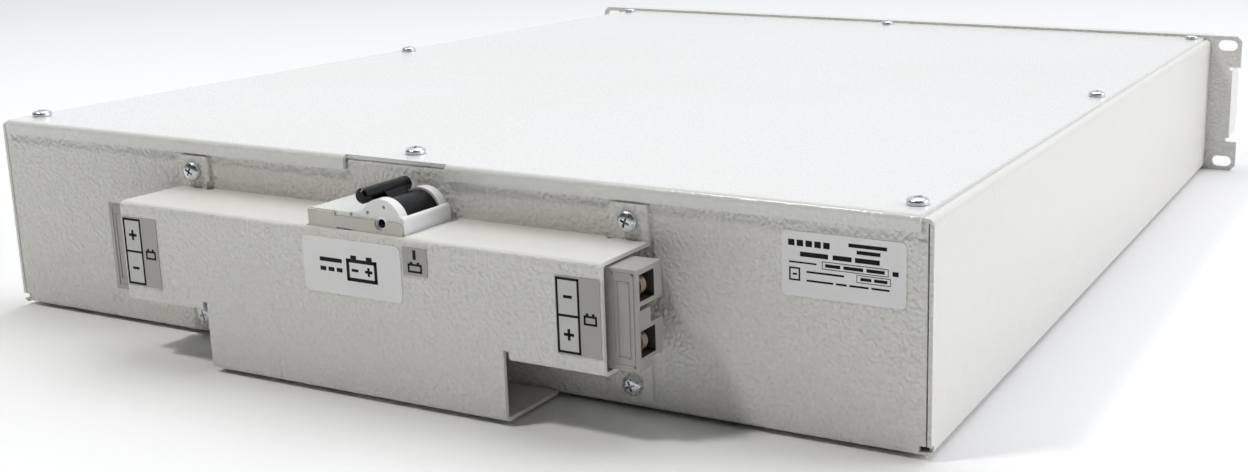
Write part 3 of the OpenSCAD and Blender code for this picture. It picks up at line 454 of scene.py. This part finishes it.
def paint_cell_shade(node, side):
    """The walls inside a connector's two cells get a painted shade: a near-black grey in place of
    the shade that falls inside them.
    """
    lower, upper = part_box(node)
    mouth = upper.x if side > 0 else lower.x
    mesh = finished[node].data
    mesh.materials.append(FINISHES["cell_painted_shade"])
    for polygon in mesh.polygons:
        at = polygon.center
        depth = side * (mouth - at.x) / MM
        across = (at.y - lower.y) / MM
        up = (at.z - lower.z if side > 0 else upper.z - at.z) / MM
        inside = CELL_DEPTHS[0] < depth < CELL_DEPTHS[1]
        inside = inside and CELL_Y[0] - NEAR < across < CELL_Y[1] + NEAR
        if inside and any(abs(up - middle) < CELL_H / 2 + NEAR for middle in CELL_MIDDLES):
            # painted shade on the faces inside a cell
            polygon.material_index = 1


paint_cell_shade("connector_left", -1)
paint_cell_shade("connector_right", 1)


# Screws with a cross recess ------------------------------------------------------------------

def cross_head(radius, height):
    """Pan head, seat at z = 0, still without its cross recess, which recessed_head cuts."""
    steps, turns = 10, 48
    form = bmesh.new()
    rings = []
    profile = [(radius * 0.94, 0), (radius, 0.12 * height), (radius, 0.42 * height)]
    for k in range(1, steps):
        a = math.pi / 2 * k / steps
        profile.append((radius * math.cos(a) ** 0.72, height * (0.42 + 0.58 * math.sin(a))))
    for r, z in profile:
        rings.append([form.verts.new((r * math.cos(2 * math.pi * t / turns),
                                      r * math.sin(2 * math.pi * t / turns), z))
                      for t in range(turns)])
    for below, above in zip(rings, rings[1:]):
        for t in range(turns):
            form.faces.new((below[t], below[(t + 1) % turns], above[(t + 1) % turns], above[t]))
    form.faces.new(list(reversed(rings[0])))
    form.faces.new(rings[-1])
    return form


def cross_cutter(radius, height):
    """Tapered cross, as a driver's tip leaves it."""
    form = bmesh.new()
    reach, half = 0.56 * radius, 0.11 * radius
    bottom, top = 0.3 * height, 1.2 * height
    outline = []
    for quarter in range(4):
        turn = Matrix.Rotation(quarter * math.pi / 2, 2)
        for x, y in ((half, -half), (reach, -half), (reach, half)):
            outline.append(turn @ Vector((x, y)))
    lower = [form.verts.new((p.x * 0.55, p.y * 0.8, bottom)) for p in outline]
    upper = [form.verts.new((p.x, p.y, top)) for p in outline]
    for t in range(len(outline)):
        n = (t + 1) % len(outline)
        form.faces.new((lower[t], lower[n], upper[n], upper[t]))
    form.faces.new(list(reversed(lower)))
    form.faces.new(upper)
    return form


def recessed_head(radius, height):
    """The mesh of a pan head with the cross cut out of it."""
    pieces = []
    for k, form in enumerate((cross_head(radius, height), cross_cutter(radius, height))):
        mesh = bpy.data.meshes.new("head_work_%d" % k)
        bmesh.ops.recalc_face_normals(form, faces=form.faces)
        form.to_mesh(mesh)
        form.free()
        piece = bpy.data.objects.new("head_work_%d" % k, mesh)
        bpy.context.scene.collection.objects.link(piece)
        pieces.append(piece)
    cut = pieces[0].modifiers.new("cut", "BOOLEAN")
    cut.operation = "DIFFERENCE"
    cut.object = pieces[1]
    cut.solver = "EXACT"
    applied(pieces[0])
    mesh = pieces[0].data
    for piece in pieces:
        bpy.data.objects.remove(piece)
    return mesh


def shank(form, radius, length):
    """Threaded shank down from z = 0."""
    turns, pitch, depth = 32, 0.7 * MM, 0.06 * MM
    steps = int(length / pitch * 4)
    rings = []
    for k in range(steps + 1):
        z = -length * k / steps
        r = radius - (depth if k % 2 else 0)
        rings.append([form.verts.new((r * math.cos(2 * math.pi * t / turns),
                                      r * math.sin(2 * math.pi * t / turns), z))
                      for t in range(turns)])
    for upper, lower in zip(rings, rings[1:]):
        for t in range(turns):
            form.faces.new((upper[t], lower[t], lower[(t + 1) % turns], upper[(t + 1) % turns]))
    form.faces.new(rings[0])
    form.faces.new(list(reversed(rings[-1])))


def screws(node, places, direction, radius, height, length):
    """Every screw of a node: places are the seats of the heads, direction the way they face."""
    head = recessed_head(radius, height)
    form = bmesh.new()
    facing = Vector((0, 0, 1)).rotation_difference(Vector(direction)).to_matrix().to_4x4()
    for k, place in enumerate(places):
        one = bmesh.new()
        one.from_mesh(head)
        shank(one, radius / 2, length - 0.2 * MM)
        spin = Matrix.Rotation(math.radians(17 + 47 * k), 4, "Z")
        bmesh.ops.transform(one, matrix=Matrix.Translation(place) @ facing @ spin,
                            verts=one.verts)
        work = bpy.data.meshes.new("screw_work")
        one.to_mesh(work)
        one.free()
        form.from_mesh(work)
        bpy.data.meshes.remove(work)
    piece = new_piece(node + "_finished", form, FINISHES[node_slot[node]])
    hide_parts(node)


HEAD_R = 4 * MM
HEAD_H = 2.7 * MM
TAB_T = 1.5 * MM
TAB_SCREW_IN = 8 * MM

lid_top = high("top_cover").z
lid_x = 211 * MM
lid_rows = [rear_wall_y + y * MM for y in (12, 258, 508)]
lid_places = [Vector((s * lid_x, y, lid_top)) for s in (-1, 1) for y in lid_rows]
lid_places += [Vector((0, y, lid_top)) for y in (lid_rows[0], lid_rows[2])]
screws("lid_screws", lid_places, (0, 0, 1), HEAD_R, HEAD_H, 10 * MM)

tab_x = high("rear_bracket").x - TAB_SCREW_IN
tab_face_y = rear_wall_y - TAB_T
tab_places = [Vector((s * tab_x, tab_face_y, case_bottom_z + z * MM))
              for s in (-1, 1) for z in (9.5, 71.5)]
screws("bracket_screws", tab_places, (0, -1, 0), HEAD_R, HEAD_H, 9 * MM)


# Printed marks -------------------------------------------------------------------------------

PRINT_T = 0.03 * MM


def print_marks(name, corner, bars, material, lift=0.0,
                thick=PRINT_T):
    """Bars on a face that looks to the rear, lift above it and thick metres deep. Each bar
    is (x, z, width, height) in millimetres from corner, the face's lower left corner."""
    form = bmesh.new()
    for x, z, w, h in bars:
        middle = corner + Vector((x + w / 2, 0, z + h / 2)) * MM - Vector((0, thick / 2 + lift, 0))
        size = Matrix.Diagonal((w * MM, thick, h * MM, 1))
        bmesh.ops.create_cube(form, size=1, matrix=Matrix.Translation(middle) @ size)
    new_piece(name, form, material)


def frame_bars(x, z, w, h, t):
    """Four bars round a rectangle."""
    return [(x, z, w, t), (x, z + h - t, w, t), (x, z, t, h), (x + w - t, z, t, h)]


def plus_sign(x, z, arm, t):
    return [(x - arm, z - t / 2, 2 * arm, t), (x - t / 2, z - arm, t, 2 * arm)]


def minus_sign(x, z, arm, t):
    return [(x - arm, z - t / 2, 2 * arm, t)]


def face_corner(node):
    """The lower left corner of a label, on the face that looks to the rear."""
    return Vector(low(node))


def voltage_marks():
    """Direct-current sign and a battery sign."""
    bars = [(8, 12.2, 10.6, 1.6)]
    bars += [(8 + k * 3.9, 8.6, 2.8, 1.6) for k in range(3)]
    bars += frame_bars(20.6, 5.8, 14.4, 8.6, 1.4)
    bars += [(22.8, 14.4, 2.7, 1.4), (30.1, 14.4, 2.7, 1.4)]
    bars += minus_sign(24.6, 10.1, 1.6, 1.1) + plus_sign(31, 10.1, 1.7, 1.1)
    print_marks("voltage_marks", face_corner("voltage_label"), bars, INK)


def switch_marks():
    """The on stroke over a small battery sign."""
    bars = [(4.8, 6.2, 1.4, 3.6)]
    bars += frame_bars(2.3, 1.2, 6.4, 3.4, 0.8) + [(3.3, 4.6, 1.2, 0.7), (6.5, 4.6, 1.2, 0.7)]
    print_marks("switch_marks", face_corner("switch_label"), bars, INK)


def polarity_marks():
    """Boxed plus and minus beside a dark strip with a battery sign, one set at each end."""
    box_x, box_z, box_w, box_h, line = 0.3, 0.6, 9.6, 27.4, 0.9
    label_low, label_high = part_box("polarity_labels")
    label_w = 18.2
    for side in (-1, 1):
        corner = Vector((label_low.x if side < 0 else label_high.x - label_w * MM,
                         label_low.y, label_low.z))
        name = "left" if side < 0 else "right"
        print_marks(name + "_polarity_panel", corner, [(box_x, box_z, box_w, box_h)],
                    PANEL_PRINT)
        bars = frame_bars(box_x, box_z, box_w, box_h, line)
        bars += [(box_x, box_z + (box_h - line) / 2, box_w, line)]
        upper, lower = box_z + box_h * 0.75, box_z + box_h * 0.25
        mid = box_x + box_w / 2
        bars += plus_sign(mid, upper if side < 0 else lower, 2.1, 1.1)
        bars += minus_sign(mid, lower if side < 0 else upper, 1.8, 1.1)
        bars += frame_bars(11.4, 11.8, 5.4, 3.6, 0.8)
        bars += [(12.3, 15.4, 1.1, 0.8), (14.8, 15.4, 1.1, 0.8)]
        print_marks(name + "_polarity_marks", corner, bars, INK, lift=PRINT_T)


def rating_marks():
    """Plain bars and boxes in place of the printed lines."""
    bars = [(2.5 + k * 3.3, 17.8, 2.4, 2.2) for k in range(5)]
    bars += [(25, 19.4, 14, 1.3), (28, 17.2, 8.6, 1.3)]
    bars += [(7, 14.2, 10.5, 1.7), (19.2, 14.2, 7, 1.7), (27.4, 14.2, 9, 1.7)]
    bars += [(2.8, 11.7, 10.4, 0.6)] + frame_bars(15.2, 10.5, 24.4, 2.8, 0.25)
    bars += [(16.4, 11.3, 5.6, 1.2), (23.2, 11.3, 7.2, 1.2), (31.6, 11.3, 6.6, 1.2)]
    bars += [(41, 11, 2.2, 1.6)]
    bars += frame_bars(2.8, 5.4, 4.2, 4.8, 0.6) + [(4.2, 7.4, 1.6, 0.7)]
    bars += [(9.4, 8.6, 14, 0.7)] + frame_bars(28, 7.3, 12.4, 2.7, 0.25)
    bars += [(29.4, 8.1, 4, 1.1), (34.4, 8.1, 4.8, 1.1)]
    bars += [(9.4, 5.5, 10, 0.7), (20.4, 5.5, 4, 0.7), (25.4, 5.5, 7, 0.7), (33.4, 5.5, 6.6, 0.7)]
    print_marks("rating_marks", face_corner("rating_label"), bars, INK)


def connector_rims():
    """Two raised rims, one inside the other, on the rear face of each connector."""
    shown_w, raised, sunk = 11.5, 0.35 * MM, 0.02 * MM
    for node, side in (("connector_left", -1), ("connector_right", 1)):
        lower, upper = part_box(node)
        left = lower.x if side < 0 else upper.x - shown_w * MM
        tall = (upper.z - lower.z) / MM
        bars = []
        for x, z, line in ((1.5, 1.5, 0.6), (3.3, 4.5, 0.4)):
            bars += frame_bars(x, z, shown_w - 2 * x, tall - 2 * z, line)
        print_marks(node + "_rim", Vector((left, lower.y, lower.z)), bars,
                    FINISHES["grey_plastic"], -sunk, raised)


connector_rims()
voltage_marks()
switch_marks()
polarity_marks()
rating_marks()


# Floor ---------------------------------------------------------------------------------------

def floor():
    """A pale plane, far wider than the part."""
    mesh = bpy.data.meshes.new("floor")
    form = bmesh.new()
    bmesh.ops.create_grid(form, x_segments=1, y_segments=1, size=20)
    form.to_mesh(mesh)
    form.free()
    piece = bpy.data.objects.new("floor", mesh)
    bpy.context.scene.collection.objects.link(piece)
    r = Recipe("floor", 0.9)
    r.colour(r.ramp(r.noise(0.6, 2.0), [(0.3, (0.93, 0.93, 0.93)), (0.7, (0.95, 0.95, 0.95))]))
    mesh.materials.append(r.material)


floor()
